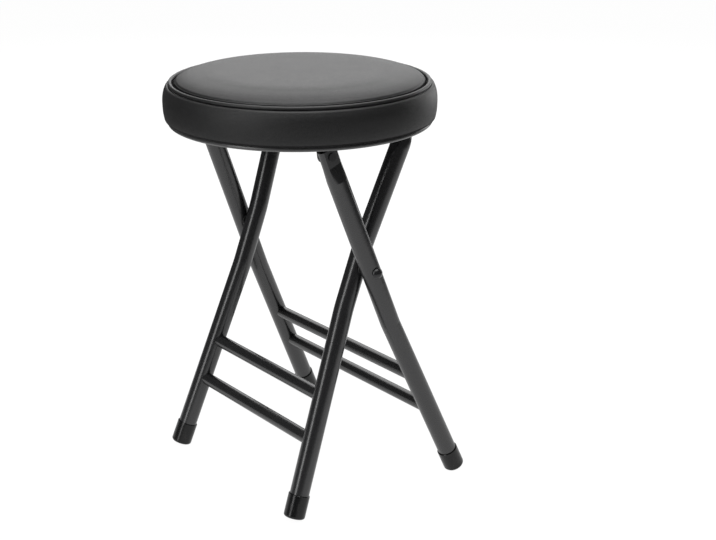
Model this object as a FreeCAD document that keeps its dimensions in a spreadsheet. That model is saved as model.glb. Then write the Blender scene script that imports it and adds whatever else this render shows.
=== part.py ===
import FreeCAD, Part
import math
import os

import Sketcher
from FreeCAD import Vector

# Padded folding stool. Z is up, the floor is z = 0 and the origin lies under the middle of the seat.
# X runs along the pivot rivets. The outer frame's feet stand at +Y and its tops carry the seat's
# hinge at -Y. The inner frame crosses it, with feet at -Y and its crossbar under the seat at +Y.

doc = FreeCAD.newDocument("FoldingStool")

# Driving sizes in millimetres and degrees: name, value, what it measures.
SIZES = (
    ("tube_diameter", "22", "leg tube, outside"),
    ("tube_wall", "1.5", "leg tube wall"),
    ("rung_diameter", "15", "rung tube, outside"),
    ("rung_wall", "1.2", "rung tube wall"),
    ("weld_gap", "0.05", "gap between a rung's coped end and its leg"),
    ("pivot_height", "271.5", "pivot rivets above the floor"),
    ("pivot_gap", "2.2", "gap between the crossing leg tubes"),
    ("pivot_outset", "7.6", "outer leg's axis at the pivot, outside the hinge"),
    ("knee_height", "205", "outer leg's slight bend above the floor"),
    ("outer_foot_outset", "21", "outer leg's axis at its foot, outside the pivot"),
    ("outer_lower_lean", "23.8", "outer leg below its bend, from upright in side view"),
    ("outer_upper_lean", "20.9", "outer leg above its bend, from upright in side view"),
    ("inner_lean", "21.6", "inner frame's plane from upright"),
    ("inner_foot_outset", "19", "inner leg's axis at its foot, outside its waist"),
    ("inner_top_setback", "10", "crossbar's corner inside the pan wall"),
    ("waist_above", "20", "straight waist of the inner leg above the pivot"),
    ("waist_below", "50", "straight waist of the inner leg below the pivot"),
    ("waist_bend_radius", "150", "inner leg's bends at the ends of its waist, on its axis"),
    ("corner_bend_radius", "24", "bend from inner leg to crossbar, on its axis"),
    ("outer_upper_rung_height", "132.5", "rung above the floor"),
    ("outer_lower_rung_height", "87.5", "rung above the floor"),
    ("inner_upper_rung_height", "131", "rung above the floor"),
    ("inner_lower_rung_height", "84", "rung above the floor"),
    ("foot_wall", "1.1", "foot cap's wall round the tube"),
    ("foot_fit", "0.1", "foot cap's bore clearance on the tube, on the radius"),
    ("foot_length", "27", "foot cap along the leg"),
    ("foot_floor", "4", "foot cap's end wall"),
    ("foot_seat_gap", "1.3", "tube's end above the cap's end wall"),
    ("foot_round", "3", "rounding of the cap's lower edge"),
    ("foot_lip", "0.5", "chamfer of the cap's upper edge"),
    ("foot_flat", "1.5", "depth of the flat that the cap rests on"),
    ("rivet_radius", "3", "pivot and hinge rivet shank"),
    ("rivet_fit", "0.05", "rivet's running clearance, on the radius"),
    ("pivot_head_radius", "6.5", "pivot rivet's domed head"),
    ("pivot_head_rise", "4.6", "height of the pivot rivet's head"),
    ("hinge_head_radius", "5", "hinge rivet's domed head"),
    ("hinge_head_rise", "3", "height of the hinge rivet's head"),
    ("rivet_tail_radius", "4.5", "formed tail"),
    ("pivot_tail_rise", "2", "thickness of the pivot rivet's tail"),
    ("hinge_tail_rise", "0.9", "thickness of the hinge rivet's tail, pressed flat on the leg's eye"),
    ("rivet_seat_gap", "0.4", "head and tail clear of the round tubes"),
    ("washer_radius", "7.5", "pivot washer, outside"),
    ("washer_thickness", "1", "pivot washer"),
    ("washer_fit", "0.15", "washer's bore clearance on the rivet, on the radius"),
    ("hinge_drop", "10.3", "hinge axis below the trim ring"),
    ("eye_thickness", "11", "flattened leg top, across the flats"),
    ("eye_shift", "1.5", "flattened top set outwards from the leg's axis"),
    ("eye_flat", "8", "half length of the flats"),
    ("eye_reach", "11", "flats below the hinge axis"),
    ("eye_rise", "9", "flats above the hinge axis"),
    ("eye_margin", "5.32", "leg's eye inside the pan wall"),
    ("flatten_length", "18", "taper from round to flat"),
    ("ear_gap", "0.3", "side clearance between leg eye, bracket ear and rivet head"),
    ("ear_thickness", "2.5", "hinge bracket plate"),
    ("ear_radius", "9", "rounded end of the ear"),
    ("bracket_width", "24", "hinge bracket along Y"),
    ("bracket_shoulder", "8", "full width part of the ear below the deck"),
    ("bracket_bend", "1.5", "inner bend radius of brackets and catches"),
    ("flange_reach", "26", "hinge bracket's flange along X"),
    ("catch_offset", "55", "catch hook from the middle"),
    ("catch_width", "26", "catch hook along X"),
    ("catch_thickness", "2", "catch hook strip"),
    ("catch_clearance", "0.35", "crossbar clear of deck and catch"),
    ("catch_lip_angle", "10", "how far the catch curls under the crossbar"),
    ("catch_flange", "22", "catch hook's flange along Y"),
    ("pin_radius", "2", "small rivets of brackets and catches"),
    ("pin_fit", "0.05", "small rivet's hole clearance, on the radius"),
    ("pin_head_radius", "4", "small rivet head"),
    ("pin_head_rise", "1.8", "small rivet head"),
    ("pin_pitch", "13", "between the two rivets of a bracket or catch"),
    ("vent_radius", "4", "air hole in the pan's deck"),
    ("vent_circle", "40", "radius of the ring of air holes"),
    ("seat_base_height", "418.3", "trim ring's lower edge above the floor"),
    ("seat_radius", "152.5", "widest point of the cushion's side"),
    ("pan_inset", "9.3", "pan wall inside the cushion's widest point"),
    ("pan_depth", "18.2", "deck's underside above the trim ring's lower edge"),
    ("pan_sheet", "1.2", "pan's steel"),
    ("pan_corner", "4", "outer corner radius of the pan"),
    ("cover_thickness", "1.2", "vinyl"),
    ("soft_gap", "0.3", "gap between cushion pieces"),
    ("ring_height", "8.9", "trim ring"),
    ("ring_thickness", "1.6", "trim ring at its edges"),
    ("ring_flange", "0.9", "trim ring's turned-in lower flange"),
    ("bead_rise", "1.2", "how far the ring's two rolled beads stand out"),
    ("hem_rise", "1.9", "cover's hem above the trim ring's lower edge"),
    ("seam_gap", "1", "shadow gap between trim ring and cushion"),
    ("band_foot_inset", "1.8", "cushion's side drawn in at the bottom"),
    ("bulge_rise", "22.7", "widest point above the trim ring's lower edge"),
    ("shoulder_inset", "1.5", "side band drawn in at its upper shoulder"),
    ("shoulder_rise", "37.2", "shoulder above the trim ring's lower edge"),
    ("shoulder_bow", "0.52", "bow of the side band from shoulder to welt"),
    ("band_top_inset", "4.9", "side band's upper edge drawn in"),
    ("band_top_rise", "42.6", "side band's upper edge above the trim ring's lower edge"),
    ("welt_inset", "8.2", "welt inside the widest point"),
    ("welt_rise", "44.7", "welt's axis above the trim ring's lower edge"),
    ("welt_bead", "2.2", "welt piping radius"),
    ("panel_gap", "0.7", "top panel's edge clear of the welt"),
    ("panel_edge_rise", "45.3", "top panel's edge above the trim ring's lower edge"),
    ("roll_width", "17.4", "rolled edge of the top panel"),
    ("roll_rise", "7.9", "height of the rolled edge"),
    ("roll_bow", "1.63", "bow of the rolled edge"),
    ("crown_rise", "5.5", "crown of the top panel inside the rolled edge"),
)

# Places worked out from the sizes: name and formula.
PLACES = (
    ("tube_radius", "Sizes.tube_diameter / 2"),
    ("bore_radius", "Places.tube_radius - Sizes.tube_wall"),
    ("deck_under", "Sizes.seat_base_height + Sizes.pan_depth"),
    ("deck_top", "Places.deck_under + Sizes.pan_sheet"),
    ("pan_radius", "Sizes.seat_radius - Sizes.pan_inset"),
    ("pan_inner", "Places.pan_radius - Sizes.pan_sheet"),
    ("foot_bore", "Places.tube_radius + Sizes.foot_fit"),
    ("foot_radius", "Places.foot_bore + Sizes.foot_wall"),
    # seat hinge on the outer legs
    ("hinge_height", "Sizes.seat_base_height - Sizes.hinge_drop"),
    ("hinge_y", "-(Places.hinge_height - Sizes.pivot_height) * tan(Sizes.outer_upper_lean)"),
    ("eye_face", "Sizes.eye_shift + Sizes.eye_thickness / 2"),
    ("ear_face", "Sizes.eye_shift - Sizes.eye_thickness / 2 - Sizes.ear_gap"),
    ("eye_edge", "0.6 * Sizes.eye_thickness"),
    ("eye_half_length", "Sizes.eye_flat + Places.eye_edge"
                        " - sqrt(Places.eye_edge ^ 2 - (Sizes.eye_thickness / 2) ^ 2)"),
    ("hinge_half_width", "sqrt(Places.pan_inner ^ 2 - (Places.eye_half_length - Places.hinge_y) ^ 2)"
                         " - Sizes.eye_margin - Places.eye_face"),
    ("hinge_slant", "(Places.hinge_height - Sizes.pivot_height) / cos(Sizes.outer_upper_lean)"),
    ("eye_bore_half", "Sizes.eye_thickness / 2 - Sizes.tube_wall"),
    ("eye_bore_edge", "Places.eye_edge - Sizes.tube_wall"),
    ("eye_bore_flat", "Sizes.eye_flat - sqrt(Places.eye_edge ^ 2 - (Sizes.eye_thickness / 2) ^ 2)"
                      " + sqrt(Places.eye_bore_edge ^ 2 - Places.eye_bore_half ^ 2)"),
    # outer legs, with one slight bend below the pivot
    ("outer_foot_end", "Sizes.foot_round - Sizes.foot_flat - Sizes.foot_round * cos(Sizes.outer_lower_lean)"
                       " + (Places.foot_radius - Sizes.foot_round) * sin(Sizes.outer_lower_lean)"),
    ("pivot_half_width", "Places.hinge_half_width + Sizes.pivot_outset"),
    ("outer_foot_half_width", "Places.pivot_half_width + Sizes.outer_foot_outset"),
    ("upper_spread", "(Places.pivot_half_width - Places.hinge_half_width)"
                     " / (Places.hinge_height - Sizes.pivot_height)"),
    ("knee_drop", "Sizes.pivot_height - Sizes.knee_height"),
    ("knee_half_width", "Places.pivot_half_width + Places.upper_spread * Places.knee_drop"),
    ("knee_y", "Places.knee_drop * tan(Sizes.outer_upper_lean)"),
    ("knee_slant", "-Places.knee_drop / cos(Sizes.outer_upper_lean)"),
    ("lower_drop", "Sizes.knee_height - Places.outer_foot_end"),
    ("lower_spread", "(Places.outer_foot_half_width - Places.knee_half_width) / Places.lower_drop"),
    ("outer_flare", "atan(Places.lower_spread)"),
    ("outer_roll", "atan(tan(Sizes.outer_lower_lean) * cos(Places.outer_flare))"),
    ("outer_foot_y", "Places.knee_y + Places.lower_drop * tan(Sizes.outer_lower_lean)"),
    ("outer_run", "Places.lower_drop / (cos(Places.outer_flare) * cos(Places.outer_roll))"),
    ("outer_end_share", "1 - (Sizes.foot_floor + Sizes.foot_seat_gap) / Places.outer_run"),
    ("outer_end_drop", "Places.lower_drop * Places.outer_end_share"),
    ("outer_end_x", "Places.knee_half_width + Places.lower_spread * Places.outer_end_drop"
                    " - Places.pivot_half_width"),
    ("end_across", "Places.knee_y + Places.outer_end_drop * tan(Sizes.outer_lower_lean)"),
    ("end_down", "Places.knee_drop + Places.outer_end_drop"),
    ("outer_end_y", "Places.end_across * cos(Sizes.outer_upper_lean)"
                    " - Places.end_down * sin(Sizes.outer_upper_lean)"),
    ("outer_end_z", "-Places.end_across * sin(Sizes.outer_upper_lean)"
                    " - Places.end_down * cos(Sizes.outer_upper_lean)"),
    ("eye_start", "Places.hinge_slant - Sizes.eye_reach"),
    ("eye_end", "Places.hinge_slant + Sizes.eye_rise"),
    ("taper_start", "Places.eye_start - Sizes.flatten_length"),
    ("taper_x", "-Places.upper_spread * Places.taper_start * cos(Sizes.outer_upper_lean)"),
    ("eye_x", "Places.hinge_half_width + Sizes.eye_shift - Places.pivot_half_width"),
    # inner frame, flat in its own leaning plane
    ("bar_height", "Places.deck_under - Sizes.catch_clearance - Places.tube_radius"),
    ("bar_slant", "(Places.bar_height - Sizes.pivot_height) / cos(Sizes.inner_lean)"),
    ("bar_y", "Places.bar_slant * sin(Sizes.inner_lean)"),
    ("bar_corner", "sqrt(Places.pan_inner ^ 2 - (Places.bar_y + Places.tube_radius) ^ 2)"
                   " - Sizes.inner_top_setback"),
    ("pivot_step", "Sizes.tube_diameter + Sizes.pivot_gap"),
    ("waist", "Places.pivot_half_width - Places.pivot_step"),
    ("pivot_tail", "sqrt(Places.bore_radius ^ 2 - Sizes.rivet_tail_radius ^ 2)"
                   " - Sizes.rivet_seat_gap - Places.pivot_step"),
    ("inner_foot_half_width", "Places.waist + Sizes.inner_foot_outset"),
    ("inner_foot_end", "Sizes.foot_round - Sizes.foot_flat - Sizes.foot_round * cos(Sizes.inner_lean)"
                       " + (Places.foot_radius - Sizes.foot_round) * sin(Sizes.inner_lean)"),
    ("inner_foot_slant", "(Places.inner_foot_end - Sizes.pivot_height) / cos(Sizes.inner_lean)"),
    ("inner_reach", "-Places.inner_foot_slant - Sizes.waist_below"),
    ("inner_flare", "atan(Sizes.inner_foot_outset / Places.inner_reach)"),
    ("inner_run", "Places.inner_reach / cos(Places.inner_flare)"),
    ("inner_end_share", "1 - (Sizes.foot_floor + Sizes.foot_seat_gap) / Places.inner_run"),
    ("inner_end_x", "Places.waist + Sizes.inner_foot_outset * Places.inner_end_share"),
    ("inner_end_slant", "-Sizes.waist_below - Places.inner_reach * Places.inner_end_share"),
    # catches and the small rivets
    ("catch_inner", "Places.tube_radius + Sizes.catch_clearance"),
    ("catch_outer", "Places.catch_inner + Sizes.catch_thickness"),
    ("catch_pin_y", "Places.bar_y + (Places.catch_outer + Places.catch_inner + Sizes.catch_flange) / 2"),
    ("bracket_pin_x", "Places.hinge_half_width + Places.ear_face"
                      " - (Sizes.flange_reach + Sizes.ear_thickness) / 2"),
    # cushion, as radii and heights
    ("hem_inner", "Places.pan_radius + Sizes.soft_gap"),
    ("hem_outer", "Places.hem_inner + Sizes.cover_thickness"),
    ("ring_inner", "Places.hem_outer + Sizes.soft_gap"),
    ("ring_outer", "Places.ring_inner + Sizes.ring_thickness"),
    ("ring_top", "Sizes.seat_base_height + Sizes.ring_height"),
    ("band_foot_radius", "Sizes.seat_radius - Sizes.band_foot_inset"),
    ("band_foot_height", "Places.ring_top + Sizes.seam_gap"),
    ("bulge_height", "Sizes.seat_base_height + Sizes.bulge_rise"),
    ("shoulder_radius", "Sizes.seat_radius - Sizes.shoulder_inset"),
    ("shoulder_height", "Sizes.seat_base_height + Sizes.shoulder_rise"),
    ("band_top_radius", "Sizes.seat_radius - Sizes.band_top_inset"),
    ("band_top_height", "Sizes.seat_base_height + Sizes.band_top_rise"),
    ("welt_radius", "Sizes.seat_radius - Sizes.welt_inset"),
    ("welt_height", "Sizes.seat_base_height + Sizes.welt_rise"),
    ("panel_edge_radius", "Places.welt_radius - Sizes.welt_bead - Sizes.panel_gap"),
    ("panel_edge_height", "Sizes.seat_base_height + Sizes.panel_edge_rise"),
    ("roll_radius", "Places.panel_edge_radius - Sizes.roll_width"),
    ("roll_height", "Places.panel_edge_height + Sizes.roll_rise"),
    ("crown_height", "Places.roll_height + Sizes.crown_rise"),
    ("crown_arc", "(Places.roll_radius ^ 2 + Sizes.crown_rise ^ 2) / (2 * Sizes.crown_rise)"),
    ("bead_arc", "((Sizes.ring_height / 4) ^ 2 + Sizes.bead_rise ^ 2) / (2 * Sizes.bead_rise)"),
    ("shoulder_chord", "sqrt((Sizes.band_top_inset - Sizes.shoulder_inset) ^ 2"
                       " + (Sizes.band_top_rise - Sizes.shoulder_rise) ^ 2)"),
    ("shoulder_arc", "((Places.shoulder_chord / 2) ^ 2 + Sizes.shoulder_bow ^ 2) / (2 * Sizes.shoulder_bow)"),
    ("roll_chord", "sqrt(Sizes.roll_width ^ 2 + Sizes.roll_rise ^ 2)"),
    ("roll_arc", "((Places.roll_chord / 2) ^ 2 + Sizes.roll_bow ^ 2) / (2 * Sizes.roll_bow)"),
    ("lower_rise", "Places.bulge_height - Places.band_foot_height"),
    ("lower_arc", "(Sizes.band_foot_inset ^ 2 + Places.lower_rise ^ 2) / (2 * Sizes.band_foot_inset)"),
    ("upper_rise", "Places.shoulder_height - Places.bulge_height"),
    ("upper_arc", "(Sizes.shoulder_inset ^ 2 + Places.upper_rise ^ 2) / (2 * Sizes.shoulder_inset)"),
)

sizes = doc.addObject("Spreadsheet::Sheet", "Sizes")
for row, (name, number, words) in enumerate(SIZES, start=1):
    sizes.set(f"A{row}", words)
    sizes.set(f"B{row}", number)
    sizes.setAlias(f"B{row}", name)
doc.recompute()

places = doc.addObject("Spreadsheet::Sheet", "Places")
for row, (name, formula) in enumerate(PLACES, start=1):
    places.set(f"A{row}", name.replace("_", " "))
    places.set(f"B{row}", "=" + formula.replace("Places.", ""))
    places.setAlias(f"B{row}", name)
    doc.recompute()

SIDES = (("left", -1), ("right", 1))
parts = []


# Helpers for sketches and features.


def value(expression):
    """Gives the plain number that an expression of the sheets stands for."""
    result = sizes.evalExpression(expression)
    return float(getattr(result, "Value", result))


def point(x, y, z):
    """Writes a vector expression."""
    return f"vector({x}; {y}; {z})"


def turn(axis, angle):
    """Writes a rotation expression about one of the axes x, y or z."""
    unit = {"x": "vector(1; 0; 0)", "y": "vector(0; 1; 0)", "z": "vector(0; 0; 1)"}[axis]
    return f"rotation({unit}; {angle})"


def place(position, rotation):
    """Writes a placement expression."""
    return f"placement({position}; {rotation})"


def keep(piece, label):
    """Names a finished sub-part and lists it for writing."""
    piece.Label = label
    parts.append(piece)
    return piece


def new_body(name, placement=None):
    """Starts a body, with its place bound to an expression."""
    body = doc.addObject("PartDesign::Body", name)
    if placement:
        body.setExpression("Placement", placement)
    return body


def plane(body, role):
    """Finds one of a body's own origin planes."""
    return next(feature for feature in body.Origin.OriginFeatures if feature.Role == role)


def new_sketch(body, role, lift=None):
    """Attaches a sketch to an origin plane, lifted off it by an expression."""
    sketch = body.newObject("Sketcher::SketchObject", body.Name + "_sketch")
    sketch.AttachmentSupport = [(plane(body, role), "")]
    sketch.MapMode = "FlatFace"
    if lift:
        sketch.setExpression("AttachmentOffset.Base.z", lift)
    return sketch


def bind(sketch, constraint, expression):
    """Adds a dimension to a sketch and binds it to an expression."""
    index = sketch.addConstraint(constraint)
    sketch.setExpression(f"Constraints[{index}]", expression)


def fix_point(sketch, geometry, end, x, y):
    """Holds one end of a sketch line or arc at two expressions."""
    bind(sketch, Sketcher.Constraint("DistanceX", -1, 1, geometry, end, value(x)), x)
    bind(sketch, Sketcher.Constraint("DistanceY", -1, 1, geometry, end, value(y)), y)


def arc_between(start, end, radius, way):
    """Makes an arc of under half a circle, with its centre left of the way along for way +1."""
    chord = end - start
    left = Vector(-chord.y, chord.x, 0).normalize()
    offset = math.sqrt(radius ** 2 - (chord.Length / 2) ** 2)
    centre = (start + end) / 2 + left * (way * offset)
    first, last = (start, end) if way > 0 else (end, start)
    angles = [math.atan2(spot.y - centre.y, spot.x - centre.x) for spot in (first, last)]
    return Part.ArcOfCircle(Part.Circle(centre, Vector(0, 0, 1), radius), *angles)


def outline(sketch, corners):
    """Draws a closed outline through corners given as (x, y, arc) expressions.

    arc is None for a straight side to the next corner, or a radius and the way it turns.
    """
    spots = [Vector(value(x), value(y), 0) for x, y, _ in corners]
    sides = []
    for index, (_, _, arc) in enumerate(corners):
        start = spots[index]
        end = spots[(index + 1) % len(spots)]
        if arc is None:
            sides.append((sketch.addGeometry(Part.LineSegment(start, end), False), 1, 2))
        else:
            radius, way = arc
            side = sketch.addGeometry(arc_between(start, end, value(radius), way), False)
            sides.append((side, 1, 2) if way > 0 else (side, 2, 1))
    for index, (side, _, end) in enumerate(sides):
        after, start, _ = sides[(index + 1) % len(sides)]
        sketch.addConstraint(Sketcher.Constraint("Coincident", side, end, after, start))
    for (side, start, _), (x, y, arc) in zip(sides, corners):
        fix_point(sketch, side, start, x, y)
        if arc is not None:
            bind(sketch, Sketcher.Constraint("Radius", side, value(arc[0])), arc[0])


def circle(sketch, x, y, radius):
    """Draws a full circle."""
    ring = Part.Circle(Vector(value(x), value(y), 0), Vector(0, 0, 1), value(radius))
    geometry = sketch.addGeometry(ring, False)
    fix_point(sketch, geometry, 3, x, y)
    bind(sketch, Sketcher.Constraint("Radius", geometry, value(radius)), radius)


def bent_path(sketch, corners, radii):
    """Draws straight runs through corners, joined by tangent bends at the inner corners."""
    spots = [Vector(value(x), value(y), 0) for x, y in corners]
    guides = [sketch.addGeometry(Part.LineSegment(a, b), True) for a, b in zip(spots, spots[1:])]
    for guide, (x, y) in zip(guides, corners):
        fix_point(sketch, guide, 1, x, y)
    fix_point(sketch, guides[-1], 2, *corners[-1])
    for guide, after in zip(guides, guides[1:]):
        sketch.addConstraint(Sketcher.Constraint("Coincident", guide, 2, after, 1))
    starts = [spots[0]]
    ends = []
    bends = []
    for before, spot, after, radius in zip(spots, spots[1:], spots[2:], radii):
        back = (before - spot).normalize()
        ahead = (after - spot).normalize()
        reach = value(radius) / math.tan(back.getAngle(ahead) / 2)
        ends.append(spot + back * reach)
        starts.append(spot + ahead * reach)
        way = 1 if back.cross(ahead).z < 0 else -1
        bends.append((arc_between(ends[-1], starts[-1], value(radius), way), way))
    ends.append(spots[-1])
    runs = [sketch.addGeometry(Part.LineSegment(a, b), False) for a, b in zip(starts, ends)]
    sketch.addConstraint(Sketcher.Constraint("Coincident", runs[0], 1, guides[0], 1))
    sketch.addConstraint(Sketcher.Constraint("Coincident", runs[-1], 2, guides[-1], 2))
    for index, (bend, way) in enumerate(bends):
        arc = sketch.addGeometry(bend, False)
        first, last = (1, 2) if way > 0 else (2, 1)
        sketch.addConstraint(Sketcher.Constraint("PointOnObject", runs[index], 2, guides[index]))
        sketch.addConstraint(Sketcher.Constraint("PointOnObject", runs[index + 1], 1, guides[index + 1]))
        sketch.addConstraint(Sketcher.Constraint("Tangent", runs[index], 2, arc, first))
        sketch.addConstraint(Sketcher.Constraint("Tangent", arc, last, runs[index + 1], 1))
        bind(sketch, Sketcher.Constraint("Radius", arc, value(radii[index])), radii[index])


def revolve(body, corners):
    """Turns an outline of radii and heights about the body's Z axis."""
    sketch = new_sketch(body, "XZ_Plane")
    outline(sketch, corners)
    feature = body.newObject("PartDesign::Revolution", body.Name + "_turned")
    feature.Profile = sketch
    feature.ReferenceAxis = (sketch, ["V_Axis"])
    feature.Angle = 360
    return feature


def pad(body, sketch, length, midplane=False, reverse=False):
    """Extrudes a sketch by an expression."""
    feature = body.newObject("PartDesign::Pad", body.Name + "_pad")
    feature.Profile = sketch
    feature.setExpression("Length", length)
    feature.Midplane = midplane
    feature.Reversed = reverse
    return feature


def drill(body, role, holes, length, lift=None):
    """Cuts round holes, given as (x, y, radius), by half the length to each side of a lifted plane."""
    doc.recompute()
    before = body.Shape.Volume
    sketch = new_sketch(body, role, lift)
    for x, y, radius in holes:
        circle(sketch, x, y, radius)
    feature = body.newObject("PartDesign::Pocket", body.Name + "_holes")
    feature.Profile = sketch
    feature.setExpression("Length", length)
    feature.Midplane = True
    doc.recompute()
    if not body.Shape.Volume < before:
        raise RuntimeError(f"holes cut nothing in {body.Name}")
    return feature


def round_bend(body, outer, inner, radius):
    """Rounds a plate's bend: its edges along one line outside and another inside the corner."""
    doc.recompute()
    base = body.Tip

    def edges_along(spot, direction):
        names = []
        for index, edge in enumerate(base.Shape.Edges, start=1):
            start, end = (vertex.Point for vertex in (edge.Vertexes[0], edge.Vertexes[-1]))
            along = (end - start).cross(direction).Length < 1e-6
            if along and (start - spot).cross(direction).Length < 1e-3:
                names.append(f"Edge{index}")
        return names

    for spot, direction, size in ((outer[0], outer[1], radius[0]), (inner[0], inner[1], radius[1])):
        feature = body.newObject("PartDesign::Fillet", body.Name + "_bend")
        feature.Base = (base, edges_along(spot, direction))
        feature.setExpression("Radius", size)
        doc.recompute()
        base = feature


# Leg frames.


def pivot_spot(side):
    """Gives the pivot's point on an outer leg's axis."""
    return point(f"{side} * Places.pivot_half_width", "0", "Sizes.pivot_height")


def round_section(radius, x="0", y="0"):
    """Gives a circle as four arcs, to match a flattened section side by side."""
    half = f"{radius} * sqrt(0.5)"
    signs = ((1, -1), (1, 1), (-1, 1), (-1, -1))
    return [(f"{x} + {a} * {half}", f"{y} + {b} * {half}", (radius, 1)) for a, b in signs]


def flat_section(half, flat, edge, x):
    """Gives a flattened tube: two straight sides joined by two arcs."""
    return [
        (f"{x} + {half}", f"-{flat}", None),
        (f"{x} + {half}", flat, (edge, 1)),
        (f"{x} - {half}", flat, None),
        (f"{x} - {half}", f"-{flat}", (edge, 1)),
    ]


def loft(body, kind, sections):
    """Lofts straight between sections given as (height, outline)."""
    sketches = []
    for height, corners in sections:
        sketch = new_sketch(body, "XY_Plane", height)
        outline(sketch, corners)
        sketches.append(sketch)
    feature = body.newObject("PartDesign::" + kind, body.Name + "_loft")
    feature.Profile = sketches[0]
    feature.Sections = sketches[1:]
    feature.Ruled = True
    return feature


def outer_leg(side_name, side):
    """Builds an outer leg: a tube with a slight bend and a flattened top for the seat's hinge."""
    body = new_body(
        "outer_leg_" + side_name,
        place(pivot_spot(side), turn("x", "Sizes.outer_upper_lean")))
    foot_x = f"{side} * Places.outer_end_x"
    knee_x = f"{side} * (Places.knee_half_width - Places.pivot_half_width)"
    taper_x = f"{side} * Places.taper_x"
    eye_x = f"{side} * Places.eye_x"
    skins = (
        ("AdditiveLoft", "Places.tube_radius",
         ("Sizes.eye_thickness / 2", "Sizes.eye_flat", "Places.eye_edge")),
        ("SubtractiveLoft", "Places.bore_radius",
         ("Places.eye_bore_half", "Places.eye_bore_flat", "Places.eye_bore_edge")),
    )
    for kind, radius, (half, flat, edge) in skins:
        eye = flat_section(half, flat, edge, eye_x)
        loft(body, kind, (
            ("Places.outer_end_z", round_section(radius, foot_x, "Places.outer_end_y")),
            ("Places.knee_slant", round_section(radius, knee_x)),
            ("Places.taper_start", round_section(radius, taper_x)),
            ("Places.eye_start", eye),
            ("Places.eye_end", eye),
        ))
    hole = "Sizes.rivet_radius + Sizes.rivet_fit"
    drill(body, "YZ_Plane", (("0", "0", hole), ("0", "Places.hinge_slant", hole)), "4 * Sizes.tube_diameter")
    keep(body, body.Name)


def inner_frame():
    """Builds the inner frame: one tube bent into both legs and the crossbar, waisted at the pivot."""
    body = new_body(
        "inner_frame_tube",
        place(point("0", "0", "Sizes.pivot_height"), turn("x", "-Sizes.inner_lean")))
    path = new_sketch(body, "XZ_Plane")
    bent_path(
        path,
        (("0", "Places.bar_slant"), ("Places.bar_corner", "Places.bar_slant"),
         ("Places.waist", "Sizes.waist_above"), ("Places.waist", "-Sizes.waist_below"),
         ("Places.inner_end_x", "Places.inner_end_slant")),
        ("Sizes.corner_bend_radius", "Sizes.waist_bend_radius", "Sizes.waist_bend_radius"))
    section = new_sketch(body, "YZ_Plane")
    circle(section, "0", "Places.bar_slant", "Places.tube_radius")
    circle(section, "0", "Places.bar_slant", "Places.bore_radius")
    pipe = body.newObject("PartDesign::AdditivePipe", "inner_frame_half")
    pipe.Profile = section
    pipe.Spine = path
    doc.recompute()
    mirrored = body.newObject("PartDesign::Mirrored", "inner_frame_mirrored")
    mirrored.Originals = [pipe]
    mirrored.MirrorPlane = (plane(body, "YZ_Plane"), [""])
    body.Tip = mirrored
    for _, side in SIDES:
        drill(body, "YZ_Plane", (("0", "0", "Sizes.rivet_radius + Sizes.rivet_fit"),),
              "Sizes.tube_diameter", f"{side} * (Places.waist + Places.tube_radius)")
    keep(body, body.Name)


def cylinder(name, radius, length, placement):
    """Makes a bound cylinder."""
    piece = doc.addObject("Part::Cylinder", name)
    piece.setExpression("Radius", radius)
    piece.setExpression("Height", length)
    piece.setExpression("Placement", placement)
    return piece


def rung(label, half_width, y, height, copes):
    """Builds a rung: a tube along X whose ends are coped to fit round the legs."""
    where = place(point(f"-({half_width})", y, height), turn("y", "90"))
    length = f"2 * ({half_width})"
    bar = cylinder(label + "_bar", "Sizes.rung_diameter / 2", length, where)
    bore = cylinder(label + "_bore", "Sizes.rung_diameter / 2 - Sizes.rung_wall", length, where)
    tool = doc.addObject("Part::MultiFuse", label + "_cut")
    tool.Shapes = [bore] + copes
    piece = doc.addObject("Part::Cut", label)
    piece.Base = bar
    piece.Tool = tool
    keep(piece, label)


def leg_axis(frame, side):
    """Gives a lower leg's placement, from the middle of its foot's end up along its axis."""
    if frame == "outer":
        spot = point(f"{side} * Places.outer_foot_half_width", "Places.outer_foot_y", "Places.outer_foot_end")
        flare = turn("y", f"-{side} * Places.outer_flare")
        return place(spot, flare + " * " + turn("x", "Places.outer_roll"))
    spot = point(
        f"{side} * Places.inner_foot_half_width",
        "Places.inner_foot_slant * sin(Sizes.inner_lean)",
        "Places.inner_foot_end")
    flare = turn("y", f"-{side} * Places.inner_flare")
    return place(spot, turn("x", "-Sizes.inner_lean") + " * " + flare)


def frame_rungs(frame, foot_y, spread, slope):
    """Builds the two rungs of a frame between its lower legs."""
    foot_half_width = f"Places.{frame}_foot_half_width"
    foot_end = f"Places.{frame}_foot_end"
    copes = [
        cylinder(f"{frame}_cope_{name}", "Places.tube_radius + Sizes.weld_gap", f"Places.{frame}_run",
                 leg_axis(frame, side))
        for name, side in SIDES
    ]
    for level in ("upper", "lower"):
        height = f"Sizes.{frame}_{level}_rung_height"
        half_width = f"{foot_half_width} - ({height} - {foot_end}) * {spread}"
        y = f"{foot_y} - ({height} - {foot_end}) * {slope}"
        rung(f"{frame}_{level}_rung", half_width, y, height, copes)


def foot(frame, side_name, side, floor):
    """Builds a foot cap: a cup on the tube's end, with a small flat where it meets the floor."""
    label = f"{frame}_foot_{side_name}"
    cap = new_body(label + "_cap", leg_axis(frame, side))
    revolve(cap, (
        ("0", "0", None),
        ("Places.foot_radius - Sizes.foot_round", "0", ("Sizes.foot_round", 1)),
        ("Places.foot_radius", "Sizes.foot_round", None),
        ("Places.foot_radius", "Sizes.foot_length - Sizes.foot_lip", None),
        ("Places.foot_radius - Sizes.foot_lip", "Sizes.foot_length", None),
        ("Places.foot_bore", "Sizes.foot_length", None),
        ("Places.foot_bore", "Sizes.foot_floor", None),
        ("0", "Sizes.foot_floor", None),
    ))
    piece = doc.addObject("Part::Cut", label)
    piece.Base = cap
    piece.Tool = floor
    keep(piece, label)


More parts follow.
